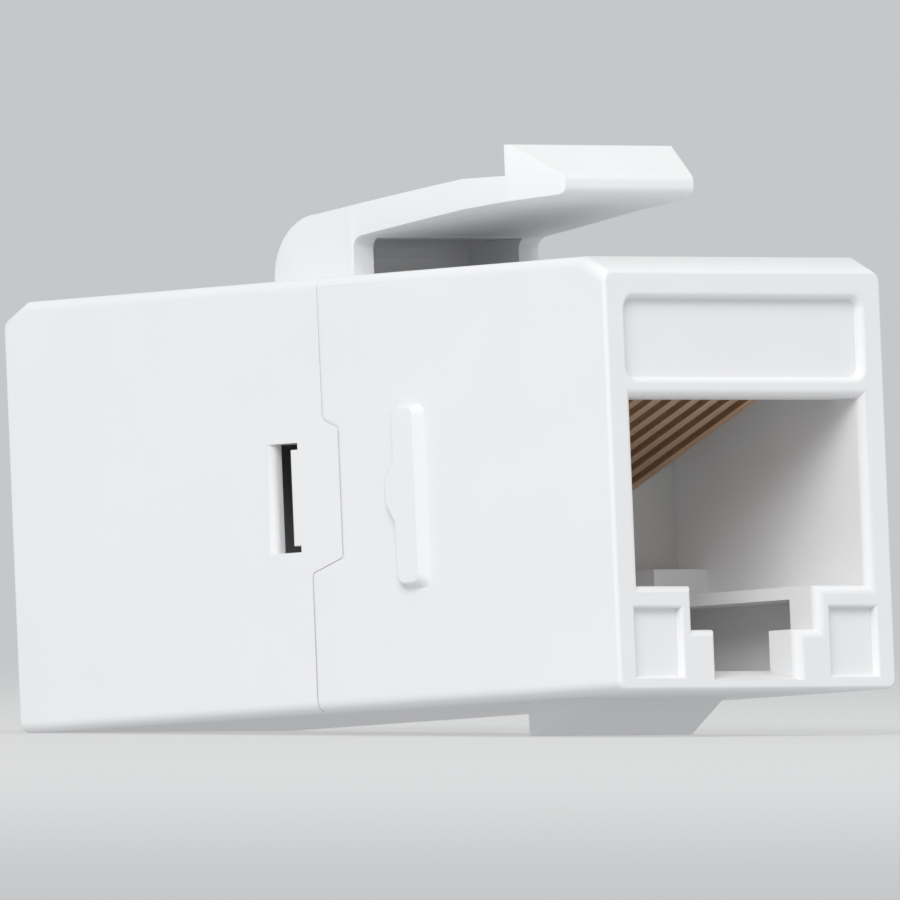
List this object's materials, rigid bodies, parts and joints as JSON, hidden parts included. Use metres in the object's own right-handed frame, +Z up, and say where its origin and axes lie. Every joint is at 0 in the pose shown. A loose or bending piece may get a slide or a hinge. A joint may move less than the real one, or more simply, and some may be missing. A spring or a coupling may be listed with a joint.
{
  "type": "keystone coupler",
  "caption": "White snap-in keystone coupler with a modular plug port at each end, a flexing top latch, a bottom hook and sprung contacts inside.",
  "frame": {"origin": "centre of the front port's mouth, in the plane of the front face", "axes": "+Y runs from the front face through the coupler to the rear port, +Z points up to the latch and +X to the right when looking into the front port"},
  "size_m": [0.0154, 0.0302, 0.0215],
  "materials": {
    "white_plastic": "satin",
    "insert_plastic": "satin",
    "board": "satin",
    "contact_metal": "satin"
  },
  "bodies": {
    "coupler": {"front_housing": "white_plastic", "rear_housing": "white_plastic", "front_contact_insert": "insert_plastic", "rear_contact_insert": "insert_plastic", "circuit_board": "board", "front_contact_1": "contact_metal", "front_contact_2": "contact_metal", "front_contact_3": "contact_metal", "front_contact_4": "contact_metal", "front_contact_5": "contact_metal", "front_contact_6": "contact_metal", "front_contact_7": "contact_metal", "front_contact_8": "contact_metal", "rear_contact_1": "contact_metal", "rear_contact_2": "contact_metal", "rear_contact_3": "contact_metal", "rear_contact_4": "contact_metal", "rear_contact_5": "contact_metal", "rear_contact_6": "contact_metal", "rear_contact_7": "contact_metal", "rear_contact_8": "contact_metal"},
    "latch": {"latch_arm": "white_plastic"}
  },
  "joints": [
    {"name": "latch_flex", "type": "hinge", "parent": "coupler", "child": "latch", "pos_m": [0, 0.0147, 0.01066], "axis": [1, 0, 0], "range_deg": [0, 10], "stiffness_Nm_per_rad": 0.2}
  ]
}
